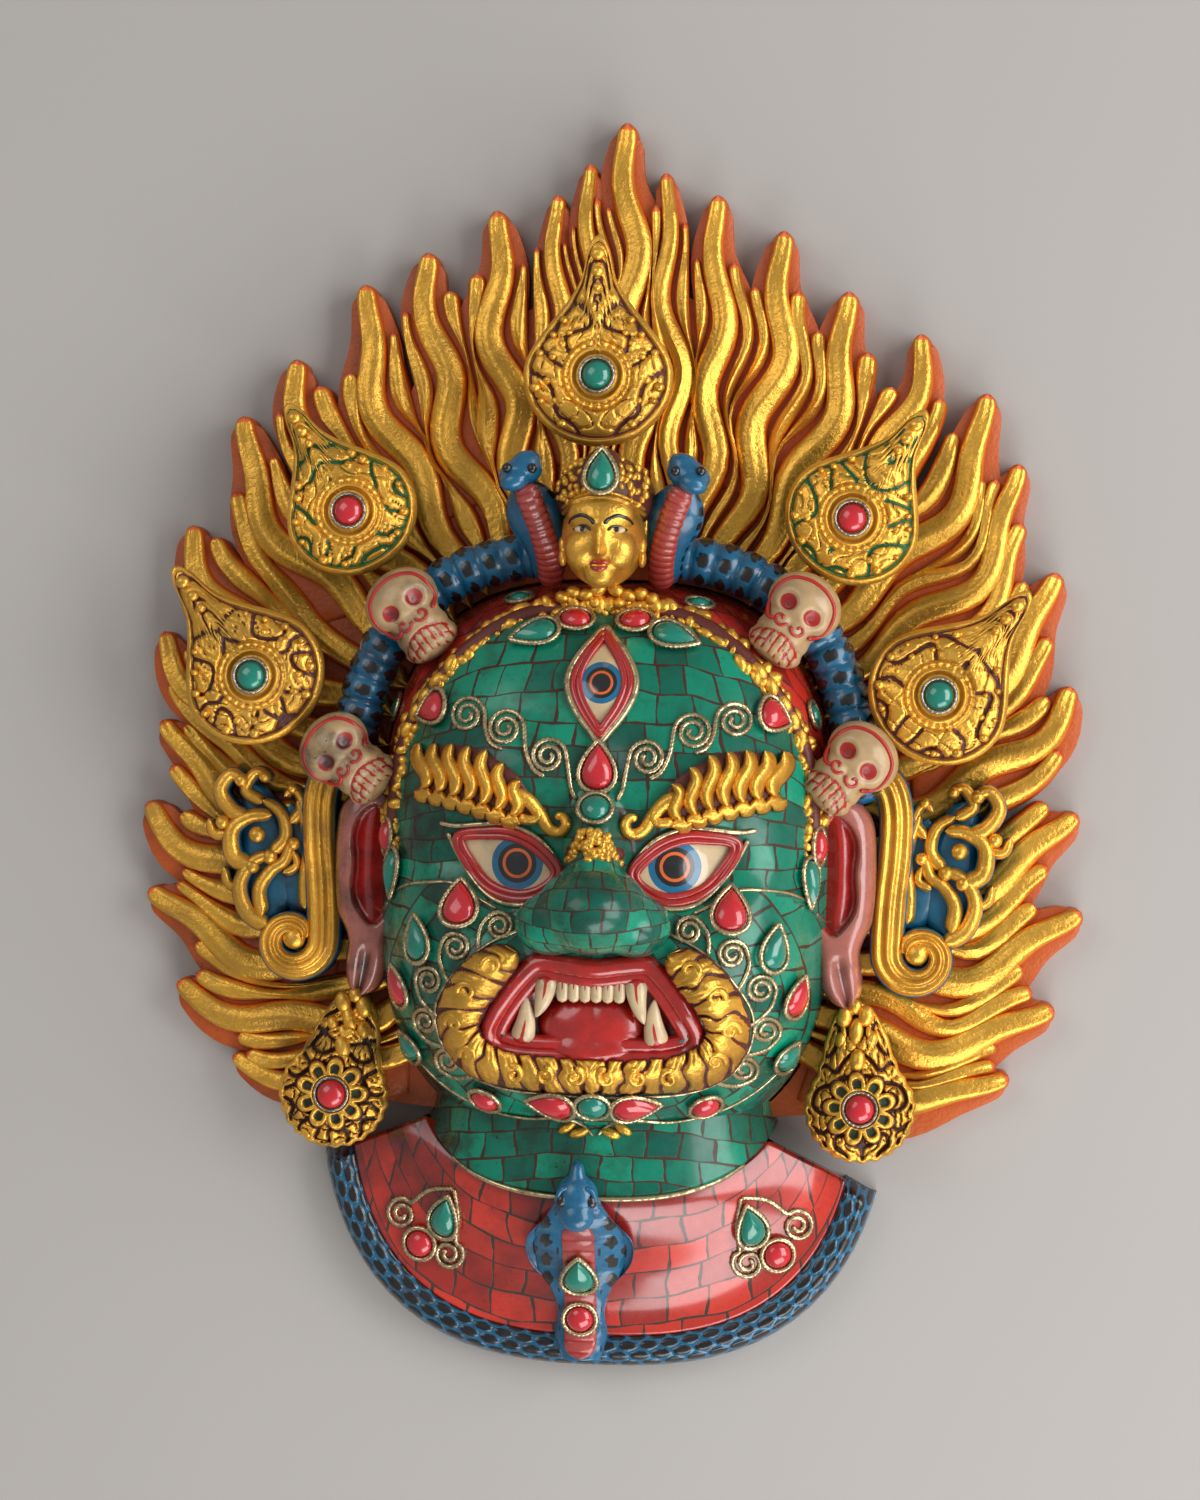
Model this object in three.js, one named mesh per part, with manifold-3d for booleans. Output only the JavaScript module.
// A wall mask of the wrathful protector danced in the Tibetan cham, lying on its back.
//
// Millimetres, +Z up. The flat back of the flame halo and the rim of the hollow head lie on
// z = 0, +Y points to the topmost flame tip and the face looks along +Z. Everything is first
// laid out around the head's own axis, x = 0, and the whole group is centred at the end.

import * as THREE from "three";
import { mergeVertices } from "three/addons/utils/BufferGeometryUtils.js";
import Module from "manifold-3d";

const wasm = await Module();
wasm.setup();

// ---------------------------------------------------------------- driving dimensions

const GAP = 0.3; // clearance between pieces that touch

const HEAD = {
  y: -18.5, // middle of the head's outline
  halfWidth: 69,
  halfLength: 84.5,
  height: 64, // of the plain dome, before nose and cheeks
  squareness: 2.9, // of the outline
  roundness: 2.5, // of the dome's section
  wall: 7,
};

const NECK = { top: -84, halfWidth: 50, flare: 3, height: 40 };

const HALO = {
  halfWidth: 127, // of the solid plate, at its widest
  widestY: -10,
  tipY: 186, // where the two sides of the plate meet
  foot: -93,
  plate: 8, // thickness
  crest: 14, // height of the flames' ridges
};

// The collar is a cape between two rounded squares that share a centre below the chin.
const COLLAR = {
  centreY: -75,
  inner: { halfWidth: 57, length: 42, squareness: 2.6 },
  outer: { halfWidth: 76.5, length: 85.5, squareness: 2.7 },
  from: -68, // degrees from straight down, at the left end
  to: 63,
  innerHeight: 36,
  outerHeight: 12,
  wall: 9,
};
const COBRA = { x: -4.5, snout: -107, tail: -168 };
const HEM = { width: 10.5, height: 12.5 }; // of the snake round the collar

const LEAF = { below: 0.92, above: 1.9, rim: 4, dome: 9, back: 29 }; // lengths in half-widths
const SKULL = { halfWidth: 11.5, length: 26, base: 28, height: 17 };
const GARLAND = { z: 21.3, radius: 6 };
const CAB = { round: 4.2, rise: 3.2 };

// ---------------------------------------------------------------- colours

const finish = (color, roughness, metalness) =>
  new THREE.MeshStandardMaterial({ color, roughness, metalness });

const GILT = finish(0xc9992f, 0.35, 0.85);
const TURQUOISE = finish(0x14806a, 0.3, 0);
const CORAL = finish(0xb5202c, 0.3, 0);
const CORAL_MOSAIC = finish(0xa9402f, 0.35, 0);
const SNAKE_BLUE = finish(0x125a7c, 0.45, 0);
const BONE = finish(0xd6c29b, 0.5, 0);

// ---------------------------------------------------------------- small helpers

const rad = THREE.MathUtils.degToRad;
const { lerp, smoothstep } = THREE.MathUtils;
const V2 = (x, y) => new THREE.Vector2(x, y);
const V3 = (x, y, z) => new THREE.Vector3(x, y, z);
const steps = (count) => Array.from({ length: count + 1 }, (_, i) => i / count);
const turns = (count) => Array.from({ length: count }, (_, i) => (i / count) * 2 * Math.PI);

/** A closed surface through rings of equal length; each end is a fan unless the rings loop. */
function skin(rings, loop = false) {
  const size = rings[0].length;
  const points = rings.flat();
  const faces = [];
  const bands = loop ? rings.length : rings.length - 1;
  for (let i = 0; i < bands; i++) {
    const here = i * size;
    const next = ((i + 1) % rings.length) * size;
    for (let j = 0; j < size; j++) {
      const k = (j + 1) % size;
      faces.push([here + j, here + k, next + k], [here + j, next + k, next + j]);
    }
  }
  if (!loop) {
    for (const [ring, start] of [[rings[0], 0], [rings.at(-1), (rings.length - 1) * size]]) {
      const middle = points.length;
      points.push(ring.reduce((sum, p) => sum.add(p), V3(0, 0, 0)).divideScalar(size));
      for (let j = 0; j < size; j++) {
        const k = (j + 1) % size;
        faces.push(start === 0 ? [middle, start + k, start + j] : [middle, start + j, start + k]);
      }
    }
  }
  const volume = faces.reduce((sum, [a, b, c]) => {
    return sum + points[a].dot(V3(0, 0, 0).crossVectors(points[b], points[c]));
  }, 0);
  if (volume < 0) faces.forEach((face) => face.reverse());
  const geometry = new THREE.BufferGeometry().setFromPoints(points);
  geometry.setIndex(faces.flat());
  return geometry;
}

function solid(geometry) {
  const bare = geometry.clone();
  for (const name of Object.keys(bare.attributes)) {
    if (name !== "position") bare.deleteAttribute(name);
  }
  const merged = mergeVertices(bare, 1e-4);
  return new wasm.Manifold(
    new wasm.Mesh({
      numProp: 3,
      vertProperties: new Float32Array(merged.attributes.position.array),
      triVerts: new Uint32Array(merged.index.array),
    }),
  );
}

function geometryOf(body) {
  const mesh = body.getMesh();
  const geometry = new THREE.BufferGeometry();
  geometry.setAttribute("position", new THREE.BufferAttribute(mesh.vertProperties, 3));
  geometry.setIndex(new THREE.BufferAttribute(mesh.triVerts, 1));
  geometry.computeVertexNormals();
  return geometry;
}

const joined = (geometries) => wasm.Manifold.union(geometries.map(solid));

function prism(outline, bottom, top) {
  const shape = new THREE.Shape(outline);
  const geometry = new THREE.ExtrudeGeometry(shape, { depth: top - bottom, bevelEnabled: false });
  return geometry.translate(0, 0, bottom);
}

/** A tube of changing radius along a smooth route, `flat` times as deep as it is wide. */
function cord(route, radius, { sides = 6, count = 10, flat = 1, loop = false } = {}) {
  const curve = new THREE.CatmullRomCurve3(route, loop);
  const stations = loop ? steps(count).slice(0, -1) : steps(count);
  const rings = stations.map((t) => {
    const at = curve.getPointAt(t);
    const along = curve.getTangentAt(t);
    const side = V3(-along.y, along.x, 0).normalize();
    const up = V3(0, 0, 0).crossVectors(along, side).normalize();
    if (up.z < 0) up.negate();
    return turns(sides).map((turn) => {
      const angle = turn + Math.PI / sides;
      return at.clone()
        .addScaledVector(side, radius(t) * Math.cos(angle))
        .addScaledVector(up, radius(t) * flat * Math.sin(angle));
    });
  });
  return skin(rings, loop);
}

function ball(centre, radii, turn = 0, across = 10, down = 7) {
  return new THREE.SphereGeometry(1, across, down)
    .rotateX(Math.PI / 2)
    .scale(...radii)
    .rotateZ(turn)
    .translate(...centre);
}

// ---------------------------------------------------------------- the head

/** Distance from the head's middle to its outline, in a direction given as an angle. */
function headReach(angle, grow = 0) {
  const across = Math.abs(Math.cos(angle)) / (HEAD.halfWidth + grow);
  const along = Math.abs(Math.sin(angle)) / (HEAD.halfLength + grow);
  return (across ** HEAD.squareness + along ** HEAD.squareness) ** (-1 / HEAD.squareness);
}

function headOutline(count, grow) {
  return turns(count).map((angle) => {
    const reach = headReach(angle, grow);
    return V2(reach * Math.cos(angle), HEAD.y + reach * Math.sin(angle));
  });
}

function domeHeight(x, y, grow = 0) {
  const spread =
    Math.abs(x / (HEAD.halfWidth + grow)) ** HEAD.squareness +
    Math.abs((y - HEAD.y) / (HEAD.halfLength + grow)) ** HEAD.squareness;
  return (HEAD.height + grow) * Math.max(0, 1 - spread) ** (1 / HEAD.roundness);
}

// Swellings of the face: middle, half-spread across and along, rise, and how blunt the top is
// (0.5 is a ball, 2 a soft mound). Those with x > 0 are mirrored to the other cheek.
const SWELLINGS = [
  { at: [0, -14], spread: [11, 20], rise: 9, blunt: 1.4 }, // bridge
  { at: [28, -19], spread: [24, 15], rise: -4, blunt: 1.5 }, // eye hollows
  { at: [30, 9], spread: [34, 18], rise: 4, blunt: 1.6 }, // brow ridges
  { at: [46, -47], spread: [26, 29], rise: 6, blunt: 1.2 }, // cheeks
  { at: [0, -64], spread: [52, 32], rise: 6, blunt: 1 }, // muzzle
  { at: [0, -60], spread: [30, 15], rise: -13, blunt: 0.5 }, // open mouth
  { at: [0, -91], spread: [24, 12], rise: 4, blunt: 1.5 }, // chin
];

function swell(x, y, { at, spread, rise, blunt }) {
  const sides = at[0] > 0 ? [1, -1] : [1];
  return sides.reduce((sum, side) => {
    const dx = (x - side * at[0]) / spread[0];
    const dy = (y - at[1]) / spread[1];
    return sum + rise * Math.max(0, 1 - dx * dx - dy * dy) ** blunt;
  }, 0);
}

function faceHeight(x, y) {
  return domeHeight(x, y) + SWELLINGS.reduce((sum, row) => sum + swell(x, y, row), 0);
}

// The bulb of the nose and its wings, as balls: middle and radii.
const NOSE = { bulb: [[0, -30.5, 70], [16, 13, 20]], wing: [[13.5, -35.5, 66], [8.5, 8, 12]] };

/** A dome over the head's outline; `height` gives the surface over each point. */
function dome({ grow = 0, around = 36, rings = 13, bottom = 0, height }) {
  const floor = turns(around).map((angle) => {
    const reach = headReach(angle, grow);
    return V3(reach * Math.cos(angle), HEAD.y + reach * Math.sin(angle), bottom);
  });
  const layers = [floor];
  for (let i = 1; i < rings; i++) {
    const share = Math.cos((i / rings) * Math.PI * 0.5) ** 0.85;
    layers.push(
      turns(around).map((angle) => {
        const reach = headReach(angle, grow) * share;
        const x = reach * Math.cos(angle);
        const y = HEAD.y + reach * Math.sin(angle);
        return V3(x, y, height(x, y));
      }),
    );
  }
  return skin(layers);
}

/** The neck, a low arch whose lower end follows the collar's inner edge. */
function neckShape(grow, from = NECK.top) {
  const { centreY, inner } = COLLAR;
  const rings = [0, 0.4, 1].map((t) => {
    const halfWidth = NECK.halfWidth + grow + NECK.flare * t * t;
    return steps(10).map((s) => {
      const angle = Math.PI * s;
      const x = halfWidth * Math.sign(Math.cos(angle)) * Math.abs(Math.cos(angle)) ** 0.8;
      const z = s % 1 === 0 ? Math.min(0, grow) : (NECK.height + grow) * Math.sin(angle) ** 0.8;
      const share = 1 - Math.abs(x / inner.halfWidth) ** inner.squareness;
      const end = centreY - (inner.length - 1) * share ** (1 / inner.squareness);
      return V3(x, lerp(from, grow < 0 ? end - 1 : end, t), z);
    });
  });
  return skin(rings);
}

// The gilt beard roll and the lips run round the mouth at these half-widths and half-lengths.
const MOUTH = { y: -60.5, beard: [37.5, 17.3], lips: [28, 11] };

function roundMouth([halfWidth, halfLength], lift, openTop) {
  return turns(20)
    .map((turn) => turn + Math.PI / 2)
    .filter((angle) => !openTop || Math.abs(Math.sin(angle) - 1) > 0.12)
    .map((angle) => {
      const x = halfWidth * Math.sign(Math.cos(angle)) * Math.abs(Math.cos(angle)) ** 0.75;
      const y = MOUTH.y + halfLength * Math.sin(angle);
      const outer = 1.12;
      const surface = faceHeight(x * outer, MOUTH.y + (y - MOUTH.y) * outer);
      return V3(x, y, surface + lift);
    });
}

function onFace(x, y, lift) {
  return V3(x, y, faceHeight(x, y) + lift);
}

function brow(side) {
  const route = [[52, 12], [40, 9], [26, 2.5], [14, -4], [8, -3]];
  return cord(route.map(([x, y]) => onFace(side * x, y, 0.5)), (t) => lerp(7, 4.5, t), {
    count: 7,
    flat: 0.6,
  });
}

function ear(side) {
  const route = [[66, 2], [70, -8], [70.5, -24], [69.5, -38], [71, -51]];
  const points = route.map(([x, y]) => V3(side * x, y, 22));
  return cord(points, (t) => lerp(9, 6, smoothstep(t, 0.4, 0.8)), { count: 6, flat: 0.9 });
}

function faceMask() {
  const outside = [
    dome({ height: faceHeight }),
    neckShape(0),
    cord(roundMouth(MOUTH.beard, 1, true), (t) => 4.6 + 1.6 * Math.abs(2 * t - 1), { sides: 5, count: 14 }),
    cord(roundMouth(MOUTH.lips, -1, false), () => 3.2, { sides: 4, count: 16, loop: true }),
    ball([0, -62, 49], [14, 9, 8], 0, 8, 5),
    ball([0, 33, 61], [9, 13, 6], 0, 8, 5),
    ball(...NOSE.bulb),
    ...[1, -1].flatMap((side) => [
      ball([side * NOSE.wing[0][0], ...NOSE.wing[0].slice(1)], NOSE.wing[1], 0, 8, 5),
      brow(side),
      ear(side),
      ball([side * 26, -19.5, 54], [13, 8.5, 9], side * 0.2, 8, 5),
    ]),
  ];
  const cavity = [
    dome({
      grow: -HEAD.wall,
      around: 16,
      rings: 5,
      bottom: -1,
      height: (x, y) => domeHeight(x, y, -HEAD.wall),
    }),
    neckShape(-HEAD.wall, NECK.top + 14),
  ];
  return geometryOf(joined(outside).subtract(joined(cavity)).simplify(0.2));
}

/** The head and neck grown by a clearance, to cut what leans on them. */
function headClearance(grow = GAP + 0.3) {
  const height = (x, y) => domeHeight(x, y, grow);
  return joined([dome({ grow, rings: 12, bottom: -1, height }), neckShape(grow)]);
}

// ---------------------------------------------------------------- the flame halo

// One row for each flame, from the topmost round to the lowest: the tip, the bearing of its
// root on the ring round the head (degrees from +Y, clockwise), the sway of its wave and the
// half-width of the tongue.
const FLAMES = [
  [1, 205, 6, 5, 10],
  [13, 190, 12, -4, 7],
  [29, 183.5, 17, 4, 8],
  [49, 173, 24, 5, 9],
  [69, 155, 31, 4, 9],
  [91, 142.5, 40, -4, 8],
  [111, 125, 50, 4, 9],
  [121, 104, 58, 4, 8],
  [133, 71.5, 70, 4, 9],
  [138, 37.5, 80, -3, 8],
  [140.5, -0.5, 92, 3, 8],
  [142.5, -30, 108, 4, 9],
  [135, -59, 122, 3, 8],
  [122, -80, 130, 2, 7],
  [-10, 192.5, -3, 3, 6],
  [-19.5, 183, -10, 4, 7],
  [-38, 178, -17, -5, 9],
  [-58.5, 165, -25, 5, 9],
  [-77.5, 155, -33, -4, 9],
  [-98, 132, -42, 4, 8],
  [-114, 114.5, -53, -4, 9],
  [-129, 81, -66, 4, 8],
  [-137, 48.5, -77, 3, 8],
  [-137, 21.5, -85, -3, 7],
  [-141, -3.5, -95, 3, 8],
  [-140, -30, -108, -4, 9],
  [-130.5, -58, -122, 3, 8],
  [-113, -80, -131, 2, 7],
];
const ROOTS = { y: 4, halfWidth: 74, halfLength: 84 };
const WAVE = 46; // length of one full wave of a flame

/** The middle line of a flame: from its root to its tip, swaying to either side on the way. */
function flameRoute([tipX, tipY, bearing, sway], t) {
  const aim = rad(bearing);
  const root = V2(ROOTS.halfWidth * Math.sin(aim), ROOTS.y + ROOTS.halfLength * Math.cos(aim));
  const tip = V2(tipX, tipY);
  const reach = root.distanceTo(tip);
  const round = Math.abs(Math.atan2(tipX, tipY - ROOTS.y));
  const lean = Math.sign(tipX) * rad(58) * smoothstep(round, rad(45), rad(100));
  const out = V2(Math.sin(aim), Math.cos(aim)).multiplyScalar(reach * 0.36);
  const rise = V2(Math.sin(lean), Math.cos(lean)).multiplyScalar(reach * 0.4);
  const curve = new THREE.CubicBezierCurve(root, root.clone().add(out), tip.clone().sub(rise), tip);
  const tangent = curve.getTangent(t);
  const wave = sway * Math.sin((2 * Math.PI * reach * (1 - t)) / WAVE) * Math.sqrt(t) * (1 - t * t);
  return curve.getPoint(t).add(V2(-tangent.y, tangent.x).multiplyScalar(wave));
}

/** Across a flame: how its half-width runs from the root to the tip. */
const flameTaper = (t) => 0.85 + 0.15 * Math.sin(Math.PI * t) - 0.8 * t ** 2.4;

function tongue(row, { shift = 0, end = 1, share = 1, count = 6, crest = HALO.crest } = {}) {
  const rings = steps(count).map((step) => {
    const t = step * end;
    const here = flameRoute(row, t);
    const ahead = flameRoute(row, Math.min(1, t + 0.01)).sub(flameRoute(row, Math.max(0, t - 0.01))).normalize();
    const side = V2(-ahead.y, ahead.x);
    const half = Math.max(0.9, row[4] * share * flameTaper(step));
    const middle = here.addScaledVector(side, shift * row[4] * (1 - 0.45 * step));
    const top = lerp(crest, HALO.plate + 1.5, step ** 3);
    return [[-half, 0], [-half, top * 0.62], [0, top], [half, top * 0.62], [half, 0]].map(([w, z]) => {
      const p = middle.clone().addScaledVector(side, w);
      return V3(p.x, p.y, z);
    });
  });
  return skin(rings);
}

function haloPlate() {
  const { halfWidth, widestY, tipY, foot, plate } = HALO;
  const rise = tipY - widestY;
  const offset = (rise * rise - halfWidth * halfWidth) / (2 * halfWidth);
  const radius = halfWidth + offset;
  const from = Math.asin((foot - widestY) / radius);
  const to = Math.asin(rise / radius);
  const right = steps(16).map((t) => {
    const angle = lerp(from, to, t);
    return V2(radius * Math.cos(angle) - offset, widestY + radius * Math.sin(angle));
  });
  const left = right.slice(0, -1).reverse().map((p) => V2(-p.x, p.y));
  return prism([...right, ...left], 0, plate);
}

function flameHalo() {
  const low = { end: 0.86, share: 0.55, count: 4, crest: HALO.crest - 1.5 };
  const tongues = FLAMES.flatMap((row, i) => {
    return i % 2 ? [tongue(row)] : [tongue(row), tongue(row, { ...low, shift: 0.95 })];
  });
  const hole = joined([
    prism(headOutline(44, 0.5), -1, 40),
    prism([V2(-56, -60), V2(-56, -130), V2(56, -130), V2(56, -60)], -1, 40),
  ]);
  return geometryOf(joined([haloPlate(), ...tongues]).subtract(hole).simplify(0.5));
}

// ---------------------------------------------------------------- collar and its snake

/** Distance from the collar's centre to one of its edges, at an angle from straight down. */
function collarReach({ halfWidth, length, squareness: n }, angle) {
  return ((Math.abs(Math.sin(angle)) / halfWidth) ** n + (Math.cos(angle) / length) ** n) ** (-1 / n);
}

function collarPoint(angle, share) {
  const inner = collarReach(COLLAR.inner, angle);
  const reach = lerp(inner, collarReach(COLLAR.outer, angle), share);
  const slump = 1 - 0.5 * (angle / rad(COLLAR.to)) ** 2;
  const fall = Math.sin(share * Math.PI * 0.5) ** 1.6;
  const height = lerp(COLLAR.innerHeight * slump, COLLAR.outerHeight, fall);
  return V3(reach * Math.sin(angle), COLLAR.centreY - reach * Math.cos(angle), height);
}

const collarAngles = (count) => steps(count).map((t) => rad(lerp(COLLAR.from, COLLAR.to, t)));

function breastCollar() {
  const rings = collarAngles(14).map((angle) => {
    const top = steps(4).map((share) => collarPoint(angle, share));
    const under = top.map((p) => V3(p.x, p.y, Math.max(0, p.z - COLLAR.wall))).reverse();
    return [...top, ...under];
  });
  return skin(rings);
}

/** Lowest and highest point of the cobra where it lies over the neck, the collar or its hem. */
function cobraSection(y) {
  const share = (COLLAR.centreY - y - COLLAR.inner.length) / (COLLAR.outer.length - COLLAR.inner.length);
  const seat = collarPoint(0, THREE.MathUtils.clamp(share, 0, 1)).z + 1;
  const floor = share > 1 ? 8 : Math.max(seat, share < 0 ? NECK.height + 1.5 : 0);
  const top = Math.max(seat, floor) + lerp(8, 6.5, (y - COBRA.snout) / (COBRA.tail - COBRA.snout));
  return { floor, top };
}

/** The snake round the hem, flat below, and the cobra that rears from it over the breast. */
function collarSnake() {
  const hem = collarAngles(14).map((angle) => {
    const out = V2(Math.sin(angle), -Math.cos(angle));
    const reach = collarReach(COLLAR.outer, angle) + 0.4;
    const section = [[0, 0], [0, 0.6], [0.2, 0.96], [0.55, 1], [0.95, 0.6], [1, 0]];
    return section.map(([across, up]) => {
      const p = V2(0, COLLAR.centreY).addScaledVector(out, reach + across * HEM.width);
      return V3(p.x, p.y, up * HEM.height);
    });
  });
  const halfWidths = [4, 5.5, 9, 16, 15, 9, 7, 8, 6];
  const cobra = halfWidths.map((half, i) => {
    const y = lerp(COBRA.snout, COBRA.tail, i / (halfWidths.length - 1));
    const { floor, top } = cobraSection(y);
    return [[-1, floor], [-0.6, top], [0.6, top], [1, floor]].map(([across, z]) =>
      V3(COBRA.x + across * half, y, z));
  });
  return geometryOf(joined([skin(hem), skin(cobra)]).subtract(headClearance(0.8)));
}

// ---------------------------------------------------------------- crown

// Flaming-jewel leaves and skulls round the head: place on the halo and bearing of the tip.
const LEAVES = [
  { name: "crown_leaf_left_low", at: [-105.5, 35], bearing: -38, halfWidth: 20.5, stone: TURQUOISE },
  { name: "crown_leaf_left_high", at: [-77.5, 84.5], bearing: -32, halfWidth: 19, stone: CORAL },
  { name: "crown_leaf_top", at: [-4, 125], bearing: -1, halfWidth: 21, back: 38, stone: TURQUOISE },
  { name: "crown_leaf_right_high", at: [71.5, 85], bearing: 33, halfWidth: 19.5, stone: CORAL },
  { name: "crown_leaf_right_low", at: [98, 33.5], bearing: 40, halfWidth: 20.5, stone: TURQUOISE },
];

/** Half-width of a leaf, in shares of its widest, at a share of its length from the stone. */
function leafWidth(y) {
  if (y <= 0) return Math.sqrt(Math.max(0, 1 - (y / LEAF.below) ** 2));
  const share = y / LEAF.above;
  return 0.78 * (1 - smoothstep(share, 0.02, 0.78)) + 0.22 * Math.sqrt(Math.max(0, 1 - share ** 5));
}

function leafRing(size, z) {
  const right = steps(8).map((t) => {
    const y = lerp(-LEAF.below, LEAF.above, (1 - Math.cos(Math.PI * t)) / 2);
    return V3(leafWidth(y) * size, y * size, z);
  });
  const left = right.slice(1, -1).reverse().map((p) => V3(-p.x, p.y, z));
  return [...right, ...left];
}

function place(geometry, [x, y], bearing, z = 0) {
  return geometry.rotateZ(-rad(bearing)).translate(x, y, z);
}

function crownLeaf({ at, bearing, halfWidth, back = LEAF.back }) {
  const rows = [[0.96, 0], [1, LEAF.rim - 1], [0.8, LEAF.rim + 3.5], [0.3, LEAF.dome]];
  const plaque = skin(rows.map(([share, up]) => leafRing(halfWidth * share, back + up)));
  const foot = HALO.crest + GAP;
  const stem = new THREE.CylinderGeometry(6, 9, back + 1 - foot, 8)
    .rotateX(Math.PI / 2)
    .translate(0, 0, (back + 1 + foot) / 2);
  return geometryOf(solid(place(joinedGeometry([plaque, stem]), at, bearing)).subtract(headClearance()));
}

const joinedGeometry = (geometries) => geometryOf(joined(geometries));

const SKULLS = [
  { name: "skull_left_low", at: [-77, 11.5], bearing: -52 },
  { name: "skull_left_high", at: [-58.5, 54.5], bearing: -38 },
  { name: "skull_right_high", at: [55.5, 55.5], bearing: 35 },
  { name: "skull_right_low", at: [73, 12], bearing: 45 },
];

function skull({ at, bearing }) {
  const { halfWidth, length, base, height } = SKULL;
  // from the crown down to the chin: place along the skull, half-width and height of each ring
  const rows = [[0.5, 0.3, 0.45], [0.42, 0.75, 0.8], [0.2, 1, 1], [-0.08, 0.96, 1.02],
    [-0.2, 0.72, 0.92], [-0.42, 0.66, 0.86], [-0.5, 0.42, 0.6]];
  const rings = rows.map(([along, wide, high]) =>
    turns(8).map((turn) => {
      const z = base + height / 2 + (height / 2) * high * Math.sin(turn);
      return V3(halfWidth * wide * Math.cos(turn), length * along, z);
    }),
  );
  return geometryOf(solid(place(skin(rings), at, bearing)).subtract(headClearance()));
}

const CROWN_HEAD = { x: -1, y: 77, halfWidth: 12.5, halfLength: 15, middle: 46, depth: 20 };

function crownHead() {
  const { x, y, halfWidth, halfLength, middle, depth } = CROWN_HEAD;
  const foot = HALO.crest + GAP;
  const face = ball([x, y, middle], [halfWidth, halfLength, depth], 0, 10, 6);
  const nose = ball([x, y - 1, middle + depth - 1], [2.2, 5, 3], 0, 6, 4);
  const diadem = ball([x, y + 14, middle - 3], [15, 11, depth - 1], 0, 8, 5);
  const stem = new THREE.CylinderGeometry(8, 9, middle - foot, 8)
    .rotateX(Math.PI / 2)
    .translate(x, y + 6, (middle + foot) / 2);
  return geometryOf(joined([face, nose, diadem, stem]).subtract(headClearance()));
}

/** A snake: its body is the garland behind the skulls, and it rears beside the small head. */
function crownSnake(side) {
  const garland = steps(7).map((t) => {
    const angle = lerp(rad(20), rad(70), t);
    const reach = headReach(angle, 1 + GARLAND.radius);
    return [reach * Math.cos(angle), HEAD.y + reach * Math.sin(angle), GARLAND.z];
  });
  const rearing = [[20, 70, 25], [18.5, 75, 34], [21, 83, 41], [25, 92, 44], [27, 100, 47]];
  const route = [...garland, ...rearing].map(([x, y, z]) => V3(side * x - 1, y, z));
  const hood = (t) => Math.sin(Math.PI * THREE.MathUtils.clamp((t - 0.72) / 0.28, 0, 1));
  return geometryOf(solid(cord(route, (t) => lerp(GARLAND.radius, 4.6, smoothstep(t, 0.55, 0.7)) + 1.8 * hood(t), {
    count: 16,
  })).subtract(headClearance()));
}

// ---------------------------------------------------------------- ear scrolls and earrings

const SCROLL = { floor: HALO.crest + GAP, height: 9 };

/** A flat-backed moulding along a route on the halo. */
function moulding(route, half, { count = 10, height = SCROLL.height } = {}) {
  const curve = new THREE.SplineCurve(route.map(([x, y]) => V2(x, y)));
  const rings = steps(count).map((t) => {
    const at = curve.getPoint(t);
    const ahead = curve.getTangent(t);
    const side = V2(-ahead.y, ahead.x);
    const wide = half(t);
    const top = SCROLL.floor + height * Math.min(1, 0.4 + wide / 5);
    return [[-1, 0], [-0.8, 1], [0.8, 1], [1, 0]].map(([w, up]) => {
      const p = at.clone().addScaledVector(side, w * wide);
      return V3(p.x, p.y, up ? top : SCROLL.floor);
    });
  });
  return skin(rings);
}

function earScroll(side) {
  const mirror = (route) => route.map(([x, y]) => [side * x, y]);
  const volute = steps(12).map((t) => {
    const angle = rad(lerp(180, 560, t));
    const reach = lerp(9, 3.5, t);
    return [93.5 + reach * Math.cos(angle), -45 + reach * 1.1 * Math.sin(angle)];
  });
  const bar = [[82, 6], [86, 0], [86.5, -15], [85, -32], volute[0]];
  const parts = [
    moulding(mirror(bar), (t) => lerp(2.5, 4, smoothstep(t, 0, 0.4)), { count: 5 }),
    moulding(mirror(volute), (t) => lerp(4, 2.6, t), { count: 9 }),
    moulding(mirror([[100, -40], [108, -33], [113, -22], [110, -12]]), (t) => lerp(4, 4.5, t), { count: 3 }),
    moulding(mirror([[104, -30], [108, -14], [116, -8], [119, -2]]), (t) => lerp(6, 2, t), { count: 3 }),
    moulding(mirror([[104, -33], [101, -20], [99, -10], [101, 0]]), (t) => lerp(5, 2, t), { count: 3 }),
  ];
  return geometryOf(joined(parts).simplify(0.2));
}

const EARRING = { x: 79, y: -89.5, radius: 16.5, tail: 32, back: 17, thick: 8, bearing: [12, -4] };

function earring(side) {
  const { x, y, radius, tail, back, thick, bearing } = EARRING;
  const lean = bearing[side < 0 ? 0 : 1];
  const ring = (share, z) =>
    turns(16).map((turn) => {
      const up = Math.max(0, Math.cos(turn)) ** 6;
      const reach = radius + (tail - radius) * up;
      const slim = 1 - 0.25 * Math.max(0, Math.cos(turn)) ** 2;
      return V3(reach * share * Math.sin(turn) * slim, reach * share * Math.cos(turn), z);
    });
  const drop = skin([
    ring(0.96, back),
    ring(1, back + 4.5),
    ring(0.8, back + thick),
    ring(0.3, back + thick + 1),
  ]);
  return geometryOf(solid(place(drop, [side * x - 1.4, y], lean)));
}

// ---------------------------------------------------------------- set stones

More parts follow.
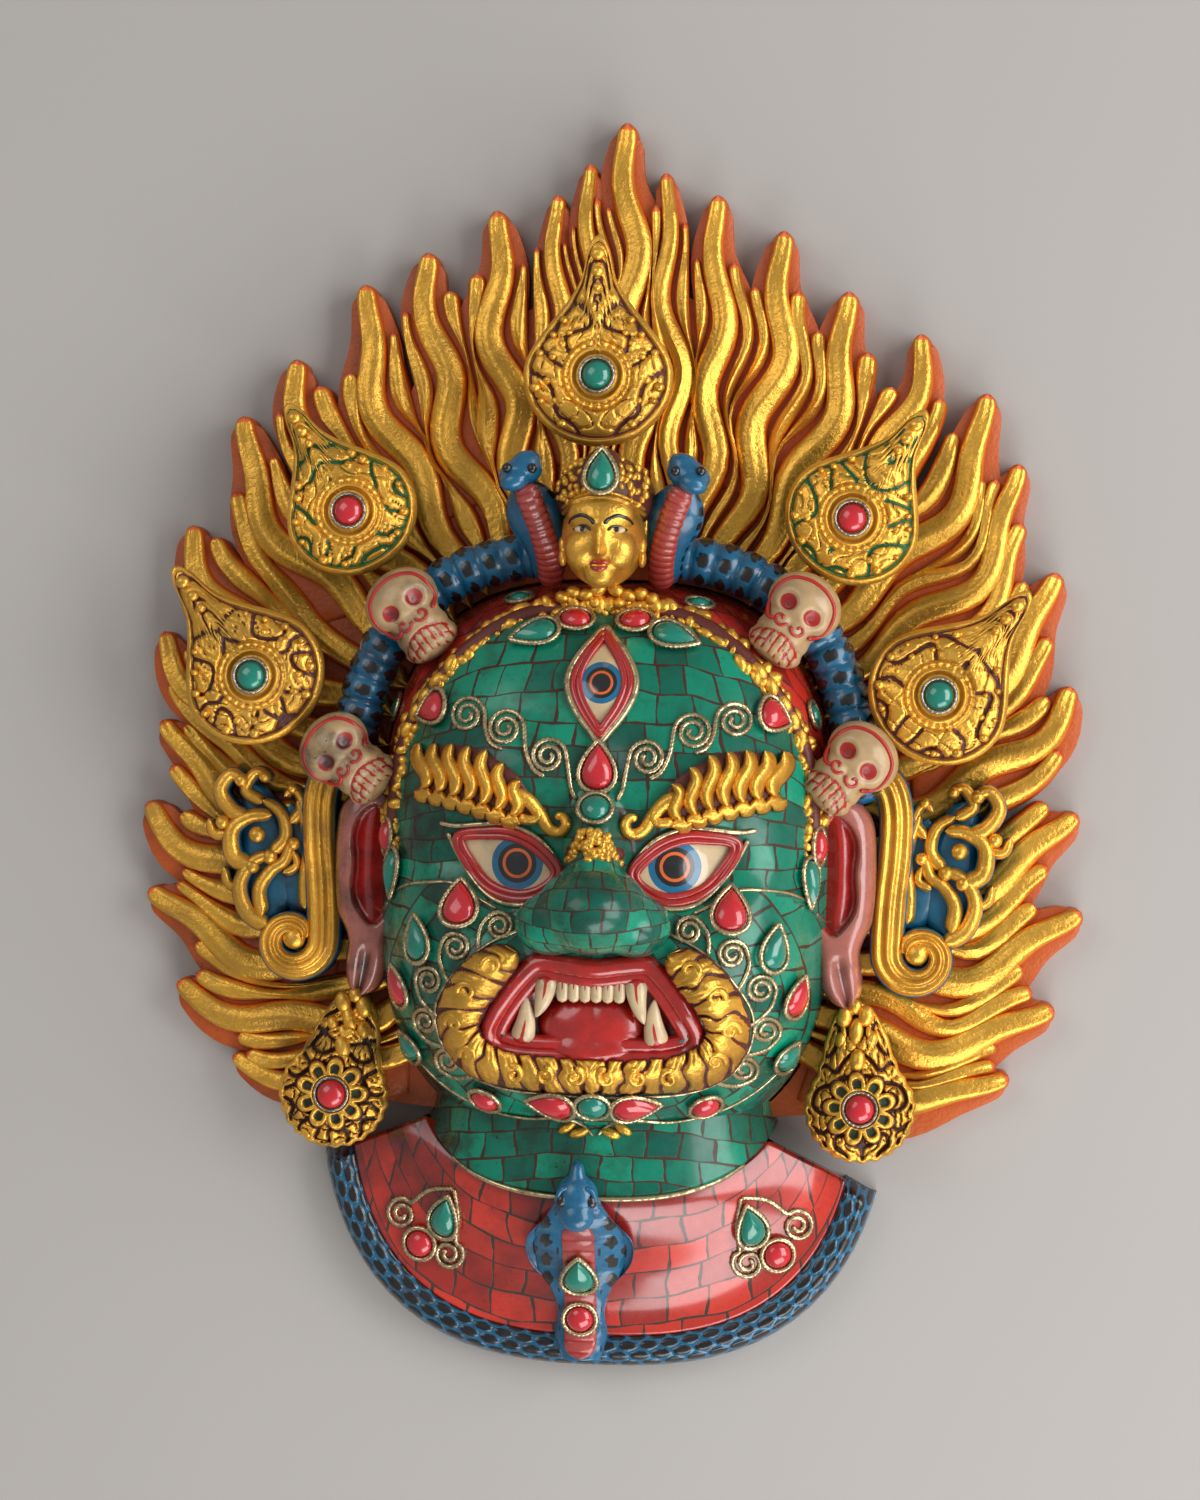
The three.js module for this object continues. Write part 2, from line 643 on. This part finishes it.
/** A domed stone on the face of the head, turned to stand square to the surface. */
function cabochon(at, normal, [halfWidth, halfLength], bearing) {
  const rings = [[1, 0], [0.8, 0.8]].map(([share, up]) =>
    turns(8).map((turn) =>
      V3(halfWidth * share * Math.sin(turn), halfLength * share * Math.cos(turn), CAB.rise * up)),
  );
  const geometry = skin(rings).rotateZ(-rad(bearing));
  geometry.applyQuaternion(new THREE.Quaternion().setFromUnitVectors(V3(0, 0, 1), normal));
  return geometry.translate(at.x, at.y, at.z);
}

function surfaceNormal(height, x, y) {
  const step = 2.5;
  const slopeX = (height(x + step, y) - height(x - step, y)) / (2 * step);
  const slopeY = (height(x, y + step) - height(x, y - step)) / (2 * step);
  return V3(-slopeX, -slopeY, 1).normalize();
}

// Stones set on the face: name, colour, place, half-width, half-length and bearing of the point.
// Those with x > 10 come in pairs, right and left.
const FACE_STONES = [
  ["forehead_coral", CORAL, 8.7, 52.5, 3.6, 4.4, 70],
  ["forehead_turquoise", TURQUOISE, 20.2, 48.3, 4, 6, 110],
  ["temple_coral", CORAL, 49.3, 26, 4.2, 4.8, -20],
  ["brow_drop_coral", CORAL, 0, 10.1, 4.4, 6, 0],
  ["brow_turquoise", TURQUOISE, 0, -2.2, 4, 4, 0],
  ["cheek_coral", CORAL, 39, -30.5, 4.6, 6, 0],
  ["cheek_turquoise", TURQUOISE, 51, -41, 4.2, 6, -10],
  ["jowl_coral", CORAL, 57.5, -55.3, 4.4, 6, -10],
  ["jowl_turquoise", TURQUOISE, 55, -73.5, 3.8, 6, -35],
  ["chin_corner_coral", CORAL, 32, -87.4, 3.8, 4.6, 0],
  ["chin_coral", CORAL, 12, -87.6, 4.6, 6, 90],
  ["chin_turquoise", TURQUOISE, 0, -87.4, 4.2, 4.2, 0],
  ["ear_coral", CORAL, 62.5, -11.6, 3, 4.6, 0],
  ["ear_turquoise", TURQUOISE, 60.5, -22, 3.4, 6, 0],
];

function faceStones() {
  return FACE_STONES.flatMap(([name, material, x, y, wide, long, bearing]) => {
    const sides = x > 5 ? [["_right", 1], ["_left", -1]] : [["", 1]];
    return sides.map(([suffix, side]) => {
      const normal = surfaceNormal(faceHeight, side * x, y);
      const seat = V3(side * x, y, faceHeight(side * x, y)).addScaledVector(normal, 1);
      return [name + suffix, cabochon(seat, normal, [wide, long], side * bearing), material];
    });
  });
}

// Stones on the collar: place as degrees round the neck and a share of the width, sizes, bearing.
const COLLAR_STONES = [
  ["collar_turquoise", TURQUOISE, 42, 0.46, 4, 6, 25],
  ["collar_coral", CORAL, 42, 0.78, 4, 4, 0],
];

function collarStones() {
  const pairs = COLLAR_STONES.flatMap(([name, material, angle, share, wide, long, bearing]) =>
    [["_right", 1], ["_left", -1]].map(([suffix, side]) => {
      const seat = collarPoint(rad(side * angle), share);
      const across = collarPoint(rad(side * (angle + 2)), share).sub(seat);
      const down = collarPoint(rad(side * angle), share + 0.04).sub(seat);
      const normal = V3(0, 0, 0).crossVectors(down, across).normalize();
      if (normal.z < 0) normal.negate();
      seat.addScaledVector(normal, 1);
      return [name + suffix, cabochon(seat, normal, [wide, long], side * -bearing), material];
    }),
  );
  return [...pairs, cobraStone("cobra_turquoise", TURQUOISE, -140, [4.4, 6]),
    cobraStone("cobra_coral", CORAL, -154.5, [4, 4])];
}

function cobraStone(name, material, y, size) {
  const height = (x, at) => cobraSection(at).top;
  const normal = surfaceNormal(height, COBRA.x, y);
  const seat = V3(COBRA.x, y, height(0, y)).addScaledVector(normal, 1.2);
  return [name, cabochon(seat, normal, size, 0), material];
}

function crownStones() {
  const round = [CAB.round, CAB.round];
  const straight = V3(0, 0, 1);
  const leaves = LEAVES.map(({ name, at: [x, y], back = LEAF.back, stone }) => {
    const seat = V3(x, y, back + LEAF.dome + GAP);
    return [name.replace("crown_leaf", "leaf_stone"), cabochon(seat, straight, round, 0), stone];
  });
  const rings = [["_right", 1], ["_left", -1]].map(([suffix, side]) => {
    const seat = V3(side * EARRING.x - 1.4, EARRING.y, EARRING.back + EARRING.thick + 1 + GAP);
    return ["earring_stone" + suffix, cabochon(seat, straight, round, 0), CORAL];
  });
  const { x, y, middle, depth } = CROWN_HEAD;
  const tilt = V3(0, 0.35, 1).normalize();
  const drop = cabochon(V3(x, y + 18.5, middle + depth - 3.2), tilt, [3.8, 5.6], 0);
  return [...leaves, ...rings, ["diadem_turquoise", drop, TURQUOISE]];
}

// ---------------------------------------------------------------- the whole mask

const sides = [["_left", -1], ["_right", 1]];
const PIECES = [
  ["flame_halo", flameHalo(), GILT],
  ["face_mask", faceMask(), TURQUOISE],
  ["breast_collar", breastCollar(), CORAL_MOSAIC],
  ["collar_snake", collarSnake(), SNAKE_BLUE],
  ...LEAVES.map((row) => [row.name, crownLeaf(row), GILT]),
  ...SKULLS.map((row) => [row.name, skull(row), BONE]),
  ["crown_head", crownHead(), GILT],
  ...sides.map(([suffix, side]) => ["crown_snake" + suffix, crownSnake(side), SNAKE_BLUE]),
  ...sides.map(([suffix, side]) => ["ear_scroll" + suffix, earScroll(side), GILT]),
  ...sides.map(([suffix, side]) => ["earring" + suffix, earring(side), GILT]),
  ...crownStones(),
  ...faceStones(),
  ...collarStones(),
];

const mask = new THREE.Group();
for (const [name, geometry, material] of PIECES) {
  const mesh = new THREE.Mesh(geometry, material);
  mesh.name = name;
  mask.add(mesh);
}

const bounds = new THREE.Box3().setFromObject(mask);
mask.position.set(-(bounds.min.x + bounds.max.x) / 2, -(bounds.min.y + bounds.max.y) / 2, 0);

export default mask;
